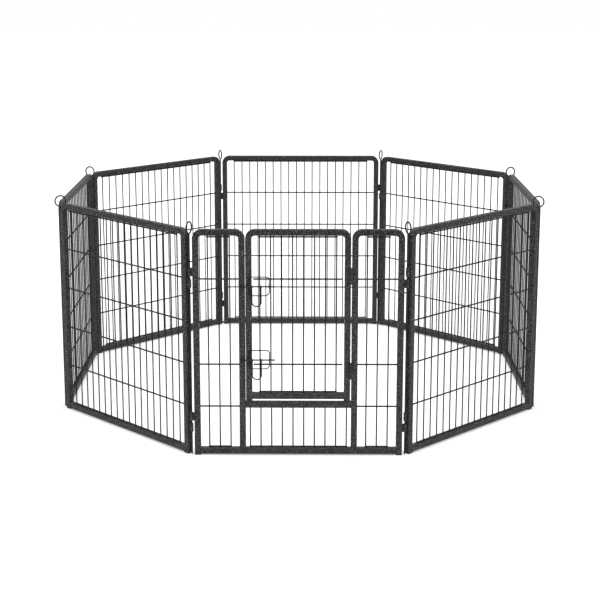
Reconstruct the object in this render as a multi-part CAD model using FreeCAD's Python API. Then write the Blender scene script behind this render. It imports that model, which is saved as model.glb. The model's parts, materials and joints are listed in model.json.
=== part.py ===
"""Eight-panel welded-steel pet playpen with a gate in its front panel.

The pen stands on the floor as a regular octagon. Each panel is an arch of square tube
with a rail welded between its legs and a mat of round bars inside. The panels hang
together on eight lift-out pins, one at each corner, and the front panel holds a gate
on two lift-off hinges, shut by two sliding bolts with drop handles.

Frame: millimetres, +Z up, origin on the floor at the middle of the pen, and the front
panel, with the gate, faces -Y. Every panel is modelled at the origin in a panel frame,
with X along the panel, -Y outwards and Z up, and then turned to its own side.
"""
import FreeCAD, Part
import math
import os

V = FreeCAD.Vector
ALONG = V(1, 0, 0)
INWARD = V(0, 1, 0)
UP = V(0, 0, 1)

# Panels, named around the pen by the right hand about +Z
PANEL_NAMES = ("front", "right_front", "right", "right_back",
               "back", "left_back", "left", "left_front")
PANEL_W = 740.0          # over the outer faces of the legs
PANEL_H = 820.0          # floor to the top of the arch
RAIL_LIFT = 4.0          # floor to the underside of the bottom rail

# Square tube
TUBE = 22.0              # across the flats
TUBE_CORNER = 3.0        # outside corner radius
TUBE_WALL = 1.0
BEND_R = 34.0            # outside radius of an arch's two top corners

# Plastic end caps in the open ends of the legs
CAP_T = 3.0              # thickness of the foot
PLUG_L = 14.0            # depth of the plug in the tube
PLUG_CLEAR = 0.1         # plug to the tube's bore, each side

# Welded mats
UPRIGHT_D = 4.8          # upright bars, in the middle plane of the tube
CROSS_D = 5.8            # cross bars, on the outer side of the uprights
WELD_SINK = 0.8          # how far crossing bars are pressed into each other
EDGE_LIFT = 4.6          # a rail's face to the middle of the edge bar beside it
EDGE_OVER = 3.0          # an edge bar runs this far past its last upright
ROWS = 5                 # cells between the top and bottom rails
MAT_UPRIGHTS = 18
MAT_MARGIN = 33.5        # leg's inner face to the first upright

# Corner hinges: sleeves on a shared pin
AXIS_GAP = 10.0          # leg's outer face to the hinge axis
HINGE_Z = (120.0, 647.0)  # middles of the lower and upper hinge
SLEEVE_D = 12.0
SLEEVE_L = 30.0
SLEEVE_GAP = 11.0        # between the two sleeves of a hinge
WEB_T = 4.0              # web that joins a sleeve to its leg
RUN_CLEAR = 0.3          # all around a rod or pin in its sleeve

# Corner pins
PIN_D = 5.6
PIN_POINT = 4.0          # length of the tapered tip
PIN_POINT_D = 3.0
RING_R = 20.5            # to the middle of the wire
RING_RISE = 5.0          # middle of the ring above the top of the panels

# Front panel
ARCH_W = 183.0           # over the two legs of each side arch
BAY_UPRIGHTS = 3
BAY_MARGIN = 31.3        # leg's inner face to the first upright
SILL_LIFT = 6.0          # middle of the cross rail above the lowest row of cross bars
SILL_UPRIGHTS = 10
SILL_MARGIN = 16.0

# Gate
GATE_LATCH_GAP = 1.8
GATE_HINGE_GAP = 3.8
GATE_FOOT_GAP = 1.6      # cross rail to the gate's end caps
GATE_RAIL_LIFT = 10.6    # cross rail to the gate's own bottom rail
GATE_UPRIGHTS = 8
GATE_MARGIN = 28.0
GATE_BAR_SHORT = 5.5     # cross bars stop this far from the gate's stiles

# Gate hinges, on the front faces
KNUCKLE_Z = (313.0, 656.0)
KNUCKLE_D = 10.0
KNUCKLE_L = 29.0
KNUCKLE_GAP = 0.5
KNUCKLE_STAND = 5.5      # tube's front face to the hinge axis
HINGE_PIN_D = 5.0
HINGE_PIN_L = 27.0
LEAF_W = 14.0
LEAF_T = 2.5

# Bolts
BOLT_Z = (354.0, 619.0)
BOLT_D = 5.0
BOLT_STAND = 6.6         # tube's front face to the bolt's axis
BOLT_INSET = 2.0         # shut bolt's tip to the far face of the post
BOLT_SPARE = 2.0         # open bolt's tip past the near face of the post
BOLT_CHAMFER = 0.8
KNOB_D = 8.0
KNOB_L = 5.0
KNOB_REACH = 10.6        # eye to the knob when the bolt is shut
GUIDE_WALL = 1.2
GUIDE_L = 15.0
EYE_L = 5.0
STOP_CLEAR = 0.5         # open handle's collar to the eye
HANDLE_D = 4.4
HANDLE_W = 32.0          # between the middles of the two legs
HANDLE_DROP = 71.0       # bolt's axis to the middle of the lowest wire
COLLAR_L = 7.0
HANDLE_SPARE = 1.0       # guide to the handle's near collar when the bolt is shut
GUARD_D = 3.8
GUARD_HALF = 33.5        # bolt's axis to the middle of its top or bottom side
GUARD_TOP_R = 10.0
GUARD_LOW_R = 15.0
KEEPER_L = 14.0
KEEPER_LIP = 2.5         # thickness above and below the slot
KEEPER_CLEAR = 0.4       # slot to the bolt, above and below
KEEPER_BACK = 0.9        # slot's floor to the bolt
KEEPER_REACH = 10.5      # tube's front face to the ends of the lips

# Worked out from the values above
TURN = 360.0 / len(PANEL_NAMES)
HALF_TURN = math.radians(TURN / 2)
SIDE = PANEL_W + 2 * AXIS_GAP                      # hinge axis to hinge axis
APOTHEM = SIDE / 2 / math.tan(HALF_TURN)
CORNER_R = SIDE / 2 / math.sin(HALF_TURN)
FACE = TUBE / 2                                    # middle plane to the front face
RAIL_TOP = RAIL_LIFT + TUBE
HEAD_LOW = PANEL_H - TUBE                          # underside of the top rail
ROW_STEP = (HEAD_LOW - RAIL_TOP) / ROWS
ROW_Z = [RAIL_TOP + ROW_STEP * row for row in range(1, ROWS)]
CROSS_Y = -(UPRIGHT_D + CROSS_D) / 2 + WELD_SINK
OPENING_HALF = PANEL_W / 2 - ARCH_W                # middle to a gate post's inner face
SILL_TOP = ROW_Z[0] + SILL_LIFT + TUBE / 2
SILL_LOW = SILL_TOP - TUBE
GATE_LEFT = -OPENING_HALF + GATE_LATCH_GAP
GATE_RIGHT = OPENING_HALF - GATE_HINGE_GAP
GATE_FOOT = SILL_TOP + GATE_FOOT_GAP
GATE_RAIL_LOW = SILL_TOP + GATE_RAIL_LIFT
GATE_AXIS_X = OPENING_HALF - GATE_HINGE_GAP / 2
GATE_AXIS_Y = -(FACE + KNUCKLE_STAND)
BOLT_Y = -(FACE + BOLT_STAND)
BOLT_TIP_X = -(OPENING_HALF + TUBE) + BOLT_INSET
BOLT_TRAVEL = TUBE - BOLT_INSET + BOLT_SPARE
SLIDE_BORE = BOLT_D + 2 * RUN_CLEAR
SLIDE_D = SLIDE_BORE + 2 * GUIDE_WALL
GUARD_LEFT = GATE_LEFT + TUBE / 2
HANDLE_LEFT = GUARD_LEFT + GUIDE_L / 2 + HANDLE_SPARE + COLLAR_L / 2
HANDLE_RIGHT = HANDLE_LEFT + HANDLE_W
GUARD_RIGHT = HANDLE_RIGHT + COLLAR_L / 2 + STOP_CLEAR + BOLT_TRAVEL + EYE_L / 2
KNOB_END = GUARD_RIGHT + EYE_L / 2 + KNOB_REACH + KNOB_L
BOLT_L = KNOB_END - BOLT_TIP_X


def fuse(shapes):
    """One solid from solids that meet."""
    return shapes[0].multiFuse(shapes[1:]).Solids[0]


def box(x_range, y_range, z_range):
    """Block between two values on each axis."""
    low = V(x_range[0], y_range[0], z_range[0])
    return Part.makeBox(x_range[1] - low.x, y_range[1] - low.y, z_range[1] - low.z, low)


def bar(start, end, diameter):
    """Round bar between two points."""
    along = end - start
    return Part.makeCylinder(diameter / 2, along.Length, start, along)


def square_wire(side, corner):
    """Rounded square about the origin, in the XY plane."""
    flat = side / 2 - corner
    edges = []
    for quarter in range(4):
        angles = [math.radians(90 * quarter + part) for part in (0, 45, 90)]
        centre = V(flat * math.copysign(1, math.cos(angles[1])),
                   flat * math.copysign(1, math.sin(angles[1])), 0)
        start, middle, end = [centre + V(math.cos(a), math.sin(a), 0) * corner for a in angles]
        following = V(-centre.y, centre.x, 0) + V(math.cos(angles[2]), math.sin(angles[2]), 0) * corner
        edges.append(Part.Arc(start, middle, end).toShape())
        edges.append(Part.LineSegment(end, following).toShape())
    return Part.Wire(edges)


def path_wire(points, radii, closed=False):
    """Straight runs through points in one plane, joined by tangent arcs at the inner points."""
    count = len(points)
    starts = []
    ends = []
    arcs = []
    for index, radius in enumerate(radii):
        here = points[index]
        if radius == 0:
            starts.append(here)
            ends.append(here)
            arcs.append(None)
            continue
        back = (points[index - 1] - here).normalize()
        ahead = (points[(index + 1) % count] - here).normalize()
        half = back.getAngle(ahead) / 2
        towards = (back + ahead).normalize()
        reach = radius / math.tan(half)
        top = here + towards * (radius / math.sin(half) - radius)
        starts.append(here + back * reach)
        ends.append(here + ahead * reach)
        arcs.append(top)
    edges = []
    for index in range(count):
        if arcs[index] is not None:
            edges.append(Part.Arc(starts[index], arcs[index], ends[index]).toShape())
        if index + 1 < count or closed:
            following = starts[(index + 1) % count]
            if ends[index].distanceToPoint(following) > 1e-6:
                edges.append(Part.LineSegment(ends[index], following).toShape())
    return Part.Wire(edges)


def swept(path, profile):
    """Solid of a profile carried along a path."""
    return path.makePipeShell([profile], True, False)


def round_swept(points, radii, diameter, closed=False):
    """Round wire bent along points."""
    path = path_wire(points, radii, closed)
    start = path.Edges[0]
    at = start.valueAt(start.FirstParameter)
    profile = Part.Wire([Part.makeCircle(diameter / 2, at, start.tangentAt(start.FirstParameter))])
    return swept(path, profile)


def hollow(solid_for):
    """Tube made from the solid of its outside and the solid of its bore."""
    outside = solid_for(TUBE, TUBE_CORNER)
    bore = solid_for(TUBE - 2 * TUBE_WALL, TUBE_CORNER - TUBE_WALL)
    return outside.cut(bore).Solids[0]


def arch(x_left, x_right, foot_left, foot_right):
    """Arch of square tube between two outer faces, each leg ending at its own height."""
    left = x_left + TUBE / 2
    right = x_right - TUBE / 2
    top = PANEL_H - TUBE / 2
    points = [V(left, 0, foot_left), V(left, 0, top), V(right, 0, top), V(right, 0, foot_right)]
    bend = BEND_R - TUBE / 2

    def solid_for(side, corner):
        profile = square_wire(side, corner)
        profile.translate(points[0])
        return swept(path_wire(points, [0, bend, bend, 0]), profile)
    return hollow(solid_for)


def rail(x_left, x_right, z_low):
    """Straight square tube along the panel."""
    def solid_for(side, corner):
        face = Part.Face(square_wire(side, corner))
        face.rotate(V(0, 0, 0), INWARD, 90)
        face.translate(V(x_left, 0, z_low + TUBE / 2))
        return face.extrude(ALONG * (x_right - x_left))
    return hollow(solid_for)


def end_cap(x_leg, z_foot):
    """Plastic foot with a plug that fills the end of a leg."""
    foot = Part.Face(square_wire(TUBE, TUBE_CORNER)).extrude(UP * CAP_T)
    plug_side = TUBE - 2 * (TUBE_WALL + PLUG_CLEAR)
    plug_corner = TUBE_CORNER - TUBE_WALL - PLUG_CLEAR
    plug = Part.Face(square_wire(plug_side, plug_corner)).extrude(UP * (CAP_T + PLUG_L))
    cap = fuse([foot, plug])
    cap.translate(V(x_leg, 0, z_foot))
    return cap


def spread(low, high, count, margin):
    """Evenly spaced places between two faces, the first and last a margin inside."""
    step = (high - low - 2 * margin) / (count - 1)
    return [low + margin + step * index for index in range(count)]


def mat(places, z_low, z_high, row_ends, rows, edges):
    """Welded mat: uprights at the places, cross bars at the rows, short bars at the edges."""
    bars = [bar(V(x, 0, z_low), V(x, 0, z_high), UPRIGHT_D) for x in places]
    for z in rows:
        bars.append(bar(V(row_ends[0], CROSS_Y, z), V(row_ends[1], CROSS_Y, z), CROSS_D))
    for z in edges:
        bars.append(bar(V(places[0] - EDGE_OVER, CROSS_Y, z),
                        V(places[-1] + EDGE_OVER, CROSS_Y, z), CROSS_D))
    return fuse(bars)


def corner_sleeve(side, z_low):
    """Hinge sleeve beside a leg, with its web; side is -1 at the left leg, 1 at the right."""
    axis_x = side * SIDE / 2
    low = V(axis_x, 0, z_low)
    high = V(axis_x, 0, z_low + SLEEVE_L)
    leg_face = side * PANEL_W / 2
    web = box(sorted([leg_face, axis_x]), (-WEB_T / 2, WEB_T / 2), (z_low, z_low + SLEEVE_L))
    blank = fuse([bar(low, high, SLEEVE_D), web])
    return blank.cut(bar(low, high, PIN_D + 2 * RUN_CLEAR)).Solids[0]


def corner_sleeves():
    """The panel's four sleeves: the lower of each pair at its right leg, the upper at its left."""
    sleeves = []
    for middle in HINGE_Z:
        sleeves.append(corner_sleeve(1, middle - SLEEVE_GAP / 2 - SLEEVE_L))
        sleeves.append(corner_sleeve(-1, middle + SLEEVE_GAP / 2))
    return sleeves


def end_caps():
    """Caps of the panel's two outer legs."""
    leg = PANEL_W / 2 - TUBE / 2
    return [end_cap(-leg, 0), end_cap(leg, 0)]


def corner_pin():
    """Pin with a tapered tip and a finger ring, on the Z axis, the ring in the XZ plane."""
    ring_z = PANEL_H + RING_RISE
    shaft = bar(V(0, 0, PIN_POINT), V(0, 0, ring_z - RING_R), PIN_D)
    tip = Part.makeCone(PIN_POINT_D / 2, PIN_D / 2, PIN_POINT)
    ring = Part.makeTorus(RING_R, PIN_D / 2, V(0, 0, ring_z), INWARD)
    return fuse([shaft, tip, ring])


def plain_panel():
    """Nodes of a panel without a gate."""
    inner = PANEL_W / 2 - TUBE
    places = spread(-inner, inner, MAT_UPRIGHTS, MAT_MARGIN)
    edges = (RAIL_TOP + EDGE_LIFT, HEAD_LOW - EDGE_LIFT)
    return {
        "frame": [arch(-PANEL_W / 2, PANEL_W / 2, CAP_T, CAP_T)],
        "bottom_rail": [rail(-inner, inner, RAIL_LIFT)],
        "mat": [mat(places, RAIL_TOP, HEAD_LOW, (-inner, inner), ROW_Z, edges)],
        "hinge_sleeves": corner_sleeves(),
        "end_caps": end_caps(),
    }


def bay_mat(side):
    """Mat of the bay beside the gate."""
    faces = sorted([side * (OPENING_HALF + TUBE), side * (PANEL_W / 2 - TUBE)])
    places = spread(faces[0], faces[1], BAY_UPRIGHTS, BAY_MARGIN)
    edges = (RAIL_TOP + EDGE_LIFT, HEAD_LOW - EDGE_LIFT)
    return mat(places, RAIL_TOP, HEAD_LOW, faces, ROW_Z, edges)


def sill_mat():
    """Mat below the gate."""
    places = spread(-OPENING_HALF, OPENING_HALF, SILL_UPRIGHTS, SILL_MARGIN)
    return mat(places, RAIL_TOP, SILL_LOW, None, (), (RAIL_TOP + EDGE_LIFT,))


def knuckle_leaf(side, z_low):
    """Leaf of a gate hinge on a front face, reaching to the axis from one side."""
    x_range = sorted([GATE_AXIS_X, GATE_AXIS_X + side * LEAF_W])
    return box(x_range, (-FACE - LEAF_T, -FACE), (z_low, z_low + KNUCKLE_L))


def post_knuckle(middle):
    """Lower knuckle of a gate hinge, with the pin that the gate drops onto."""
    top = middle - KNUCKLE_GAP / 2
    low = V(GATE_AXIS_X, GATE_AXIS_Y, top - KNUCKLE_L)
    high = V(GATE_AXIS_X, GATE_AXIS_Y, top)
    pin = bar(high, high + UP * HINGE_PIN_L, HINGE_PIN_D)
    return fuse([bar(low, high, KNUCKLE_D), knuckle_leaf(1, low.z), pin])


def gate_knuckle(middle):
    """Upper knuckle of a gate hinge, a sleeve welded to the gate's stile."""
    low = V(GATE_AXIS_X, GATE_AXIS_Y, middle + KNUCKLE_GAP / 2)
    high = low + UP * KNUCKLE_L
    blank = fuse([bar(low, high, KNUCKLE_D), knuckle_leaf(-1, low.z)])
    return blank.cut(bar(low, high, HINGE_PIN_D + 2 * RUN_CLEAR)).Solids[0]


def keeper(bolt_z):
    """Open-fronted keeper on the gate post, which holds the bolt from above and below."""
    middle = -(OPENING_HALF + TUBE / 2)
    x_range = (middle - KEEPER_L / 2, middle + KEEPER_L / 2)
    slot = BOLT_D / 2 + KEEPER_CLEAR
    half = slot + KEEPER_LIP
    block = box(x_range, (-FACE - KEEPER_REACH, -FACE), (bolt_z - half, bolt_z + half))
    floor = BOLT_Y + BOLT_D / 2 + KEEPER_BACK
    slot_box = box(x_range, (-FACE - KEEPER_REACH, floor), (bolt_z - slot, bolt_z + slot))
    return block.cut(slot_box).Solids[0]


def front_panel():
    """Nodes of the front panel, without the gate."""
    inner = PANEL_W / 2 - TUBE
    return {
        "side_arches": [arch(-PANEL_W / 2, -OPENING_HALF, CAP_T, RAIL_TOP),
                        arch(OPENING_HALF, PANEL_W / 2, RAIL_TOP, CAP_T)],
        "rails": [rail(-inner, inner, RAIL_LIFT),
                  rail(-OPENING_HALF, OPENING_HALF, SILL_LOW)],
        "mats": [bay_mat(-1), sill_mat(), bay_mat(1)],
        "hinge_sleeves": corner_sleeves() + [post_knuckle(z) for z in KNUCKLE_Z],
        "end_caps": end_caps(),
        "bolt_keepers": [keeper(z) for z in BOLT_Z],
    }


def gate():
    """Nodes of the gate, without its bolts."""
    left = GATE_LEFT + TUBE
    right = GATE_RIGHT - TUBE
    rail_top = GATE_RAIL_LOW + TUBE
    places = spread(left, right, GATE_UPRIGHTS, GATE_MARGIN)
    row_ends = (left + GATE_BAR_SHORT, right - GATE_BAR_SHORT)
    edges = (rail_top + EDGE_LIFT, HEAD_LOW - EDGE_LIFT)
    return {
        "frame": [arch(GATE_LEFT, GATE_RIGHT, GATE_FOOT + CAP_T, GATE_FOOT + CAP_T)],
        "bottom_rail": [rail(left, right, GATE_RAIL_LOW)],
        "mat": [mat(places, rail_top, HEAD_LOW, row_ends, ROW_Z[1:], edges)],
        "hinge_knuckles": [gate_knuckle(z) for z in KNUCKLE_Z],
        "end_caps": [end_cap(GATE_LEFT + TUBE / 2, GATE_FOOT),
                     end_cap(GATE_RIGHT - TUBE / 2, GATE_FOOT)],
    }


def bolt(bolt_z):
    """Sliding rod with a chamfered tip and a knob."""
    tip = V(BOLT_TIP_X, BOLT_Y, bolt_z)
    end = tip + ALONG * BOLT_L
    nose = Part.makeCone(BOLT_D / 2 - BOLT_CHAMFER, BOLT_D / 2, BOLT_CHAMFER, tip, ALONG)
    knob = bar(end - ALONG * KNOB_L, end, KNOB_D)
    rims = [edge for edge in knob.Edges if edge.Curve.TypeId == "Part::GeomCircle"]
    knob = knob.makeFillet(KNOB_L / 3, rims)
    return fuse([nose, bar(tip + ALONG * BOLT_CHAMFER, end - ALONG * KNOB_L, BOLT_D), knob])


def drop_handle(bolt_z):
    """U of wire that hangs from the bolt on two collars."""
    right = V(HANDLE_RIGHT, BOLT_Y, bolt_z)
    left = right - ALONG * HANDLE_W
    points = [left, left - UP * HANDLE_DROP, right - UP * HANDLE_DROP, right]
    bend = HANDLE_W / 2 - STOP_CLEAR
    pieces = [round_swept(points, [0, bend, bend, 0], HANDLE_D)]
    half = ALONG * (COLLAR_L / 2)
    for leg in (left, right):
        pieces.append(bar(leg - half, leg + half, SLIDE_D))
    blank = fuse(pieces)
    reach = ALONG * HANDLE_W
    return blank.cut(bar(left - reach, right + reach, SLIDE_BORE)).Solids[0]


def bolt_guard(bolt_z):
    """Wire guard on the gate's stile, with the guide and the eye that the bolt slides in."""
    y = -FACE - GUARD_D / 2
    low = bolt_z - GUARD_HALF
    high = bolt_z + GUARD_HALF
    points = [V(GUARD_LEFT, y, bolt_z), V(GUARD_LEFT, y, high), V(GUARD_RIGHT, y, high),
              V(GUARD_RIGHT, y, low), V(GUARD_LEFT, y, low)]
    radii = [0, GUARD_TOP_R, GUARD_TOP_R, GUARD_LOW_R, GUARD_LOW_R]
    loop = round_swept(points, radii, GUARD_D, closed=True)
    bolt_axis = V(0, BOLT_Y, bolt_z)
    guide = [bolt_axis + ALONG * (GUARD_LEFT + side * GUIDE_L / 2) for side in (-1, 1)]
    eye = [bolt_axis + ALONG * (GUARD_RIGHT + side * EYE_L / 2) for side in (-1, 1)]
    blank = fuse([loop, bar(guide[0], guide[1], SLIDE_D), bar(eye[0], eye[1], SLIDE_D)])
    return blank.cut(bar(guide[0], eye[1], SLIDE_BORE)).Solids[0]


def stand(shapes, index):
    """Copies of a panel's shapes, turned to the side of the pen with this index."""
    placed = []
    for shape in shapes:
        copy = shape.copy()
        copy.translate(V(0, -APOTHEM, 0))
        copy.rotate(V(0, 0, 0), UP, TURN * index)
        placed.append(copy)
    return placed


def corner_pins():
    """One pin at each corner, its ring in the upright plane through the pen's middle."""
    pins = {}
    for index in range(len(PANEL_NAMES)):
        pin = corner_pin()
        pin.translate(V(CORNER_R, 0, 0))
        pin.rotate(V(0, 0, 0), UP, TURN * (index + 0.5) - 90)
        pins["corner_pin_%d" % (index + 1)] = [pin]
    return pins


def all_nodes():
    """Every node's solids, by the node's name."""
    nodes = {}
    plain = plain_panel()
    for index, name in enumerate(PANEL_NAMES):
        if index == 0:
            continue
        for part, shapes in plain.items():
            nodes["%s_%s" % (name, part)] = stand(shapes, index)
    for part, shapes in front_panel().items():
        nodes["front_" + part] = stand(shapes, 0)
    for part, shapes in gate().items():
        nodes["gate_" + part] = stand(shapes, 0)
    for level, bolt_z in zip(("lower", "upper"), BOLT_Z):
        nodes[level + "_bolt"] = stand([bolt(bolt_z)], 0)
        nodes[level + "_drop_handle"] = stand([drop_handle(bolt_z)], 0)
        nodes[level + "_bolt_guard"] = stand([bolt_guard(bolt_z)], 0)
    nodes.update(corner_pins())
    return nodes


os.makedirs("parts", exist_ok=True)
for node, solids in all_nodes().items():
    shape = solids[0] if len(solids) == 1 else Part.makeCompound(solids)
    shape.exportStep("parts/%s.step" % node)
    volume = sum(solid.Volume for solid in solids)
    valid = all(solid.isValid() and solid.ShapeType == "Solid" for solid in solids)
    print("%-32s %2d solids %10.0f mm3 valid %s" % (node, len(solids), volume, valid))
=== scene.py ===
import json
import math
import random

import bmesh
import bpy
from mathutils import Matrix, Vector


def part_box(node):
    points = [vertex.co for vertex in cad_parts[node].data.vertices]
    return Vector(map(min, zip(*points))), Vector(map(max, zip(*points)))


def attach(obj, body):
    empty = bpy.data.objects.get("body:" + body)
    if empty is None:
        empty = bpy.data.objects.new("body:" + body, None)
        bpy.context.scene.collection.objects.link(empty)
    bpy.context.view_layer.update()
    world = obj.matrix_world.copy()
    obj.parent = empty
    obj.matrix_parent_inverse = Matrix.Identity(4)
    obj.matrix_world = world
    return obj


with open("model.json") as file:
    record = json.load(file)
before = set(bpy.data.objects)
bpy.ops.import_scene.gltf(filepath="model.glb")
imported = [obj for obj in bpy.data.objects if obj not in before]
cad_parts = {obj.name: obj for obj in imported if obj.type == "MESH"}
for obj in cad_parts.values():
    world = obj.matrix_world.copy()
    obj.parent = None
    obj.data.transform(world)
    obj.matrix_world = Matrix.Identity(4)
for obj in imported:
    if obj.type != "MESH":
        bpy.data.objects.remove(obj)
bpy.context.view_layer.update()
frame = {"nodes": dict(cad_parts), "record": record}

rng = random.Random(7)
scene = bpy.context.scene
nodes = frame["nodes"]

# ---------------------------------------------------------------- measures, taken from the frame
PANELS = ("front", "right_front", "right", "right_back", "back", "left_back", "left", "left_front")
back_low, back_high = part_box("back_frame")
APOTHEM = (back_low.y + back_high.y) / 2
PANEL_W = back_high.x - back_low.x
PANEL_H = back_high.z
TUBE = back_high.y - back_low.y
FACE = TUBE / 2
INNER = PANEL_W / 2 - TUBE
RAIL_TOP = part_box("back_bottom_rail")[1].z
HEAD_LOW = PANEL_H - TUBE
UPRIGHT_R = 0.0024
CROSS_R = 0.0029
CROSS_Y = -0.0045                 # cross bars' middle, outside the uprights' plane
CONTACT_Y = -0.0021               # where a cross bar meets an upright
EDGE_LIFT = 0.0046
ROWS = 5
ROW_STEP = (HEAD_LOW - RAIL_TOP) / ROWS
ROW_Z = [RAIL_TOP + ROW_STEP * row for row in range(1, ROWS)]
gate_low, gate_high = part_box("gate_frame")
GATE_RAIL_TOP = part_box("gate_bottom_rail")[1].z
OPENING_HALF = 0.187              # middle of the panel to a gate post
SILL_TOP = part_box("front_rails")[1].z
SILL_LOW = SILL_TOP - TUBE
HINGE_Z = (0.120, 0.647)
SLEEVE_L = 0.030
SLEEVE_GAP = 0.011                # between the two sleeves of a hinge
WEB_FACE = 0.0023                 # a sleeve's web, middle to face, with its bead
MAT_UPRIGHTS, MAT_MARGIN = 18, 0.0335
BAY_UPRIGHTS, BAY_MARGIN = 3, 0.0313
SILL_UPRIGHTS, SILL_MARGIN = 10, 0.016
GATE_UPRIGHTS, GATE_MARGIN = 8, 0.028


# ---------------------------------------------------------------- mesh helpers
def turned(index):
    """Panel frame (X along the panel, -Y outward, Z up) to the row frame."""
    return Matrix.Rotation(math.radians(45 * index), 4, "Z") @ Matrix.Translation((0, -APOTHEM, 0))


def strand(bm, points, radii, sides=8, closed=False):
    """Skin of a bead that runs along points, one radius for each."""
    count = len(points)
    rings = []
    normal = None
    for i, here in enumerate(points):
        ahead = points[(i + 1) % count] if closed or i + 1 < count else here
        behind = points[i - 1] if closed or i else here
        along = (ahead - behind).normalized()
        if normal is None:
            normal = along.orthogonal().normalized()
        normal = (normal - along * normal.dot(along)).normalized()
        side = along.cross(normal)
        ring = []
        for k in range(sides):
            a = 2 * math.pi * k / sides
            ring.append(bm.verts.new(here + (normal * math.cos(a) + side * math.sin(a)) * radii[i]))
        rings.append(ring)
    last = count if closed else count - 1
    for i in range(last):
        one, two = rings[i], rings[(i + 1) % count]
        shift = 0
        if closed and i == count - 1:
            shift = min(range(sides), key=lambda s: (one[0].co - two[s].co).length)
        for k in range(sides):
            k2 = (k + 1) % sides
            bm.faces.new((one[k], one[k2], two[(k2 + shift) % sides], two[(k + shift) % sides]))
    if not closed:
        bm.faces.new(list(reversed(rings[0])))
        bm.faces.new(rings[-1])


def ripple(count, radius, pitch_steps=3.2, rough=0.10):
    """Radii of a welded bead: even ripples with a little unevenness."""
    phase = rng.random() * 6.28
    return [radius * (1 + 0.13 * math.sin(2 * math.pi * i / pitch_steps + phase)
                      + rough * (rng.random() - 0.5)) for i in range(count)]


def loop_points(centre, u, w, half, corner, step=0.0011):
    """Rounded square about centre in the plane of u and w."""
    flat = half - corner
    corners = [(1, 1), (-1, 1), (-1, -1), (1, -1)]
    path = []
    for q, (su, sw) in enumerate(corners):
        for part in range(4):
            a = math.radians(90 * q + 30 * part)
            across = su * flat + corner * math.cos(a)
            up = sw * flat + corner * math.sin(a)
            path.append(centre + u * across + w * up)
    dense = []
    for i, p in enumerate(path):
        q = path[(i + 1) % len(path)]
        n = max(1, round((q - p).length / step))
        dense += [p.lerp(q, k / n) for k in range(n)]
    return dense


SECTION_AXES = {"X": (Vector((0, 1, 0)), Vector((0, 0, 1))), "Z": (Vector((1, 0, 0)), Vector((0, 1, 0)))}


def tube_weld(bm, m, centre, tube_axis):
    """Bead right round a square tube that ends on another tube's face."""
    u, w = SECTION_AXES[tube_axis]
    points = [m @ p for p in loop_points(Vector(centre), u, w, FACE - 0.0004, 0.0027)]
    strand(bm, points, ripple(len(points), 0.00135), 8, True)


def run_weld(bm, m, start, end, radius=0.0011, step=0.0013):
    """Straight bead between two points, tapered at its ends."""
    start, end = Vector(start), Vector(end)
    n = max(4, round((end - start).length / step))
    points = [m @ start.lerp(end, i / n) for i in range(n + 1)]
    radii = ripple(n + 1, radius)
    radii[0] *= 0.45
    radii[-1] *= 0.45
    strand(bm, points, radii, 7)


def skirt(bm, m, foot, direction, wire_r, height=0.0021, flare=0.0014):
    """Small weld around a wire that ends on a face; direction leads away from the face."""
    direction = Vector(direction)
    u = direction.orthogonal().normalized()
    w = direction.cross(u)
    sides = 10
    wobble = [1 + 0.22 * (rng.random() - 0.5) for k in range(sides)]
    rings = []
    for t in (0.0, 0.25, 0.55, 1.0):
        out = wire_r * 0.97 + flare * (1 - t) ** 1.7
        ring = []
        for k in range(sides):
            a = 2 * math.pi * k / sides
            reach = wire_r * 0.97 + (out - wire_r * 0.97) * wobble[k]
            p = Vector(foot) + direction * (height * t - 0.0001) + (u * math.cos(a) + w * math.sin(a)) * reach
            ring.append(bm.verts.new(m @ p))
        rings.append(ring)
    for one, two in zip(rings, rings[1:]):
        for k in range(sides):
            bm.faces.new((one[k], one[(k + 1) % sides], two[(k + 1) % sides], two[k]))
    bm.faces.new(list(reversed(rings[0])))
    bm.faces.new(rings[-1])


def nugget(bm, m, x, z):
    """Squeezed-out metal where a cross bar is pressed into an upright."""
    size = Vector((UPRIGHT_R * 1.32, 0.0016, CROSS_R * 1.12)) * (1 + 0.12 * (rng.random() - 0.5))
    levels, sides = 3, 10
    centre = Vector((x, CONTACT_Y, z))
    front = bm.verts.new(m @ (centre + Vector((0, -size.y, 0))))
    back = bm.verts.new(m @ (centre + Vector((0, size.y, 0))))
    rings = []
    for i in range(1, levels + 1):
        lat = math.pi * i / (levels + 1)
        rings.append([bm.verts.new(m @ (centre + Vector((
            size.x * math.sin(lat) * math.cos(2 * math.pi * k / sides),
            -size.y * math.cos(lat),
            size.z * math.sin(lat) * math.sin(2 * math.pi * k / sides))))) for k in range(sides)])
    for k in range(sides):
        k2 = (k + 1) % sides
        bm.faces.new((front, rings[0][k2], rings[0][k]))
        bm.faces.new((back, rings[-1][k], rings[-1][k2]))
        for one, two in zip(rings, rings[1:]):
            bm.faces.new((one[k], one[k2], two[k2], two[k]))


def spread(low, high, count, margin):
    step = (high - low - 2 * margin) / (count - 1)
    return [low + margin + step * i for i in range(count)]


def mat_welds(bm, m, places, z_low, z_high, row_ends, rows, edges):
    """All the small welds of one mat."""
    for x in places:
        skirt(bm, m, (x, 0, z_low), (0, 0, 1), UPRIGHT_R)
        skirt(bm, m, (x, 0, z_high), (0, 0, -1), UPRIGHT_R)
        for z in list(rows) + list(edges):
            nugget(bm, m, x, z)
    if row_ends is not None:
        for z in rows:
            skirt(bm, m, (row_ends[0], CROSS_Y, z), (1, 0, 0), CROSS_R)
            skirt(bm, m, (row_ends[1], CROSS_Y, z), (-1, 0, 0), CROSS_R)


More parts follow.
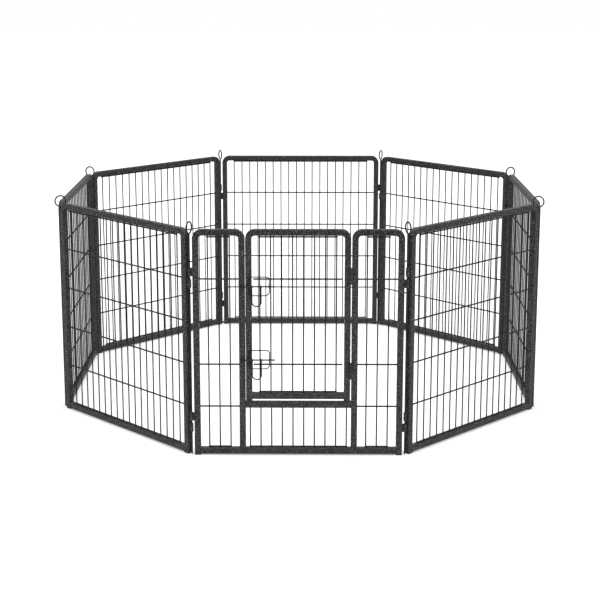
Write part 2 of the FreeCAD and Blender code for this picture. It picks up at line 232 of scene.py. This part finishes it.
def sleeve_welds(bm, m):
    """Beads along the webs of a panel's four hinge sleeves."""
    for middle in HINGE_Z:
        for side, low in ((1, middle - SLEEVE_GAP / 2 - SLEEVE_L), (-1, middle + SLEEVE_GAP / 2)):
            x = side * (PANEL_W / 2 + 0.0003)
            for y in (-WEB_FACE, WEB_FACE):
                run_weld(bm, m, (x, y, low + 0.001), (x, y, low + SLEEVE_L - 0.001), 0.0010)


def finish_piece(name, bm, body):
    bmesh.ops.recalc_face_normals(bm, faces=bm.faces)
    mesh = bpy.data.meshes.new(name)
    bm.to_mesh(mesh)
    bm.free()
    for polygon in mesh.polygons:
        polygon.use_smooth = True
    piece = bpy.data.objects.new(name, mesh)
    scene.collection.objects.link(piece)
    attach(piece, body)
    return piece


# ---------------------------------------------------------------- welds
plain_places = spread(-INNER, INNER, MAT_UPRIGHTS, MAT_MARGIN)
plain_edges = (RAIL_TOP + EDGE_LIFT, HEAD_LOW - EDGE_LIFT)
welds = []
for index, name in enumerate(PANELS):
    bm = bmesh.new()
    m = turned(index)
    for side in (-1, 1):
        tube_weld(bm, m, (side * INNER, 0, RAIL_TOP - FACE), "X")
    sleeve_welds(bm, m)
    if name == "front":
        for side in (-1, 1):
            tube_weld(bm, m, (side * (OPENING_HALF + FACE), 0, RAIL_TOP), "Z")
            tube_weld(bm, m, (side * OPENING_HALF, 0, SILL_LOW + FACE), "X")
            faces = sorted((side * (OPENING_HALF + TUBE), side * INNER))
            bay_places = spread(faces[0], faces[1], BAY_UPRIGHTS, BAY_MARGIN)
            mat_welds(bm, m, bay_places, RAIL_TOP, HEAD_LOW, faces, ROW_Z, plain_edges)
        sill_places = spread(-OPENING_HALF, OPENING_HALF, SILL_UPRIGHTS, SILL_MARGIN)
        mat_welds(bm, m, sill_places, RAIL_TOP, SILL_LOW, None, (), (RAIL_TOP + EDGE_LIFT,))
    else:
        mat_welds(bm, m, plain_places, RAIL_TOP, HEAD_LOW, (-INNER, INNER), ROW_Z, plain_edges)
    welds.append(finish_piece(name + "_welds", bm, name))

bm = bmesh.new()
m = turned(0)
gate_left = gate_low.x + TUBE
gate_right = gate_high.x - TUBE
for x in (gate_left, gate_right):
    tube_weld(bm, m, (x, 0, GATE_RAIL_TOP - FACE), "X")
gate_edges = (GATE_RAIL_TOP + EDGE_LIFT, HEAD_LOW - EDGE_LIFT)
gate_places = spread(gate_left, gate_right, GATE_UPRIGHTS, GATE_MARGIN)
mat_welds(bm, m, gate_places, GATE_RAIL_TOP, HEAD_LOW, None, ROW_Z[1:], gate_edges)
welds.append(finish_piece("gate_welds", bm, "gate"))


# ---------------------------------------------------------------- materials
def link(tree, a, b):
    tree.links.new(a, b)


def node(tree, kind, **inputs):
    made = tree.nodes.new(kind)
    for key, value in inputs.items():
        made.inputs[key.replace("_", " ")].default_value = value
    return made


def ramp(tree, source, stops):
    made = tree.nodes.new("ShaderNodeValToRGB")
    elements = made.color_ramp.elements
    while len(elements) > 1:
        elements.remove(elements[-1])
    for i, (place, value) in enumerate(stops):
        element = elements[0] if i == 0 else elements.new(place)
        element.position = place
        element.color = (value, value, value, 1)
    link(tree, source, made.inputs["Fac"])
    return made


def paint(name, dark, light, fleck, cell, roughness, bump, level):
    """Enamel over steel: small cells, fine grain, and a painted highlight on convex edges."""
    material = bpy.data.materials.new(name)
    material.use_nodes = True
    tree = material.node_tree
    shader = tree.nodes["Principled BSDF"]
    shader.inputs["Specular IOR Level"].default_value = level
    where = tree.nodes.new("ShaderNodeTexCoord").outputs["Object"]
    cells = tree.nodes.new("ShaderNodeTexVoronoi")
    cells.feature = "SMOOTH_F1"
    cells.inputs["Scale"].default_value = cell
    cells.inputs["Smoothness"].default_value = 0.6
    link(tree, where, cells.inputs["Vector"])
    fine = node(tree, "ShaderNodeTexNoise", Scale=900.0, Detail=3.0, Roughness=0.6)
    link(tree, where, fine.inputs["Vector"])
    broad = node(tree, "ShaderNodeTexNoise", Scale=9.0, Detail=2.0, Roughness=0.5)
    link(tree, where, broad.inputs["Vector"])
    speck = node(tree, "ShaderNodeTexNoise", Scale=cell * 1.15, Detail=2.0, Roughness=0.7)
    link(tree, where, speck.inputs["Vector"])
    body = ramp(tree, speck.outputs["Fac"], [(0.36, dark), (0.54, light), (0.72, fleck)])
    edge = ramp(tree, tree.nodes.new("ShaderNodeNewGeometry").outputs["Pointiness"],
                [(0.50, 0.0), (0.58, 1.0)])
    # painted highlight: convex edges (high pointiness), made patchy by the broad noise, get a lighter base
    # colour
    edge_highlight = tree.nodes.new("ShaderNodeMix")
    edge_highlight.data_type = "RGBA"
    edge_highlight.blend_type = "ADD"
    edge_highlight.inputs["B"].default_value = (0.02, 0.02, 0.0205, 1)
    amount = tree.nodes.new("ShaderNodeMath")
    amount.operation = "MULTIPLY"
    link(tree, edge.outputs["Color"], amount.inputs[0])
    link(tree, broad.outputs["Fac"], amount.inputs[1])
    link(tree, amount.outputs[0], edge_highlight.inputs["Factor"])
    link(tree, body.outputs["Color"], edge_highlight.inputs["A"])
    link(tree, edge_highlight.outputs["Result"], shader.inputs["Base Color"])
    gloss = ramp(tree, speck.outputs["Fac"], [(0.25, roughness[1]), (0.75, roughness[0])])
    link(tree, gloss.outputs["Color"], shader.inputs["Roughness"])
    height = tree.nodes.new("ShaderNodeMath")
    height.operation = "MULTIPLY_ADD"
    height.inputs[1].default_value = 0.35
    link(tree, fine.outputs["Fac"], height.inputs[0])
    link(tree, cells.outputs["Distance"], height.inputs[2])
    relief = tree.nodes.new("ShaderNodeBump")
    relief.inputs["Strength"].default_value = bump
    relief.inputs["Distance"].default_value = 0.0006
    link(tree, height.outputs[0], relief.inputs["Height"])
    link(tree, relief.outputs["Normal"], shader.inputs["Normal"])
    return material


def plastic(name, dark, light, roughness):
    """Moulded plastic with a fine spark-eroded grain."""
    material = bpy.data.materials.new(name)
    material.use_nodes = True
    tree = material.node_tree
    shader = tree.nodes["Principled BSDF"]
    where = tree.nodes.new("ShaderNodeTexCoord").outputs["Object"]
    grain = node(tree, "ShaderNodeTexNoise", Scale=1400.0, Detail=2.0, Roughness=0.5)
    link(tree, where, grain.inputs["Vector"])
    cloud = node(tree, "ShaderNodeTexNoise", Scale=60.0, Detail=2.0, Roughness=0.5)
    link(tree, where, cloud.inputs["Vector"])
    tone = ramp(tree, cloud.outputs["Fac"], [(0.3, dark), (0.7, light)])
    link(tree, tone.outputs["Color"], shader.inputs["Base Color"])
    gloss = ramp(tree, grain.outputs["Fac"], [(0.3, roughness[0]), (0.7, roughness[1])])
    link(tree, gloss.outputs["Color"], shader.inputs["Roughness"])
    relief = tree.nodes.new("ShaderNodeBump")
    relief.inputs["Strength"].default_value = 0.3
    relief.inputs["Distance"].default_value = 0.0002
    link(tree, grain.outputs["Fac"], relief.inputs["Height"])
    link(tree, relief.outputs["Normal"], shader.inputs["Normal"])
    return material


FRAME_PAINT = paint("hammertone_paint", 0.0015, 0.010, 0.18, 190.0, (0.42, 0.68), 0.95, 0.21)
WIRE_PAINT = paint("wire_enamel", 0.002, 0.005, 0.025, 420.0, (0.46, 0.60), 0.30, 0.16)
PIN_PAINT = paint("pin_enamel", 0.004, 0.010, 0.05, 420.0, (0.42, 0.56), 0.25, 0.22)
LATCH_PAINT = paint("latch_enamel", 0.003, 0.008, 0.05, 380.0, (0.40, 0.54), 0.32, 0.18)
CAP_PLASTIC = plastic("cap_plastic", 0.006, 0.012, (0.55, 0.70))

by_slot = {"frame_paint": FRAME_PAINT, "wire_paint": WIRE_PAINT, "pin_paint": PIN_PAINT,
           "latch_paint": LATCH_PAINT, "cap_plastic": CAP_PLASTIC}
slot_of = {entry["node"]: entry["material_slot"] for entry in frame["record"]["subparts"]}
for name, obj in nodes.items():
    obj.data.materials.clear()
    obj.data.materials.append(by_slot[slot_of[name]])
for piece in welds:
    piece.data.materials.append(FRAME_PAINT)


# ---------------------------------------------------------------- floor, light and camera
def camera_ray(tree):
    """1 for what the camera sees, directly, in a reflection or through glass."""
    path = tree.nodes.new("ShaderNodeLightPath")
    total = path.outputs["Is Camera Ray"]
    for other in ("Is Glossy Ray", "Is Transmission Ray"):
        add = tree.nodes.new("ShaderNodeMath")
        add.operation = "MAXIMUM"
        link(tree, total, add.inputs[0])
        link(tree, path.outputs[other], add.inputs[1])
        total = add.outputs[0]
    return total


world = bpy.data.worlds.new("studio")
scene.world = world
world.use_nodes = True
tree = world.node_tree
tree.nodes.clear()
soft = node(tree, "ShaderNodeBackground", Color=(1, 1, 1, 1), Strength=0.50)
seen = node(tree, "ShaderNodeBackground", Color=(1, 1, 1, 1), Strength=1.0)
mix = tree.nodes.new("ShaderNodeMixShader")
out = tree.nodes.new("ShaderNodeOutputWorld")
link(tree, camera_ray(tree), mix.inputs[0])
link(tree, soft.outputs[0], mix.inputs[1])
link(tree, seen.outputs[0], mix.inputs[2])
link(tree, mix.outputs[0], out.inputs["Surface"])

floor_material = bpy.data.materials.new("floor_white")
floor_material.use_nodes = True
tree = floor_material.node_tree
tree.nodes.clear()
matte = node(tree, "ShaderNodeBsdfDiffuse", Color=(0.80, 0.80, 0.80, 1))
glow = node(tree, "ShaderNodeEmission", Color=(1, 1, 1, 1))
reach = tree.nodes.new("ShaderNodeVectorMath")
reach.operation = "LENGTH"
link(tree, tree.nodes.new("ShaderNodeTexCoord").outputs["Object"], reach.inputs[0])
fade = tree.nodes.new("ShaderNodeMapRange")
for key, value in (("From Min", 1.0), ("From Max", 4.5), ("To Min", 0.22), ("To Max", 0.70)):
    fade.inputs[key].default_value = value
link(tree, reach.outputs["Value"], fade.inputs["Value"])
link(tree, fade.outputs["Result"], glow.inputs["Strength"])
none = node(tree, "ShaderNodeEmission", Color=(0, 0, 0, 1), Strength=0.0)
mix = tree.nodes.new("ShaderNodeMixShader")
add = tree.nodes.new("ShaderNodeAddShader")
out = tree.nodes.new("ShaderNodeOutputMaterial")
link(tree, camera_ray(tree), mix.inputs[0])
link(tree, none.outputs[0], mix.inputs[1])
link(tree, glow.outputs[0], mix.inputs[2])
link(tree, matte.outputs[0], add.inputs[0])
link(tree, mix.outputs[0], add.inputs[1])
link(tree, add.outputs[0], out.inputs["Surface"])
bm = bmesh.new()
bmesh.ops.create_grid(bm, x_segments=2, y_segments=2, size=30)
floor_mesh = bpy.data.meshes.new("floor")
bm.to_mesh(floor_mesh)
bm.free()
floor = bpy.data.objects.new("floor", floor_mesh)
floor.location = (0, 0, -0.0002)
floor.data.materials.append(floor_material)
scene.collection.objects.link(floor)


def soft_box(name, place, target, size, power):
    light = bpy.data.lights.new(name, "AREA")
    light.shape = "RECTANGLE"
    light.size = size[0]
    light.size_y = size[1]
    light.energy = power
    lamp = bpy.data.objects.new(name, light)
    lamp.location = place
    lamp.rotation_mode = "QUATERNION"
    lamp.rotation_quaternion = (Vector(target) - Vector(place)).to_track_quat("-Z", "Y")
    scene.collection.objects.link(lamp)


soft_box("key", (-2.6, -3.4, 3.9), (0, 0, 0.35), (3.0, 3.0), 105)
soft_box("fill", (3.4, -2.6, 2.6), (0, 0, 0.4), (3.0, 3.0), 60)
soft_box("top", (0, 0.3, 4.6), (0, 0, 0), (4.5, 4.5), 190)

PITCH = 0.205421
YAW = -0.0074654
camera_data = bpy.data.cameras.new("camera")
camera_data.sensor_width = 36
camera_data.lens = 84.48
camera_data.shift_x = 0.0082
camera_data.shift_y = -0.0833
camera = bpy.data.objects.new("camera", camera_data)
camera.location = (0.0241, -5.7053, 1.7437)
heading = Vector((math.sin(YAW) * math.cos(PITCH), math.cos(YAW) * math.cos(PITCH), -math.sin(PITCH)))
camera.rotation_mode = "QUATERNION"
camera.rotation_quaternion = heading.to_track_quat("-Z", "Y")
scene.collection.objects.link(camera)
scene.camera = camera
scene.view_settings.view_transform = "Standard"
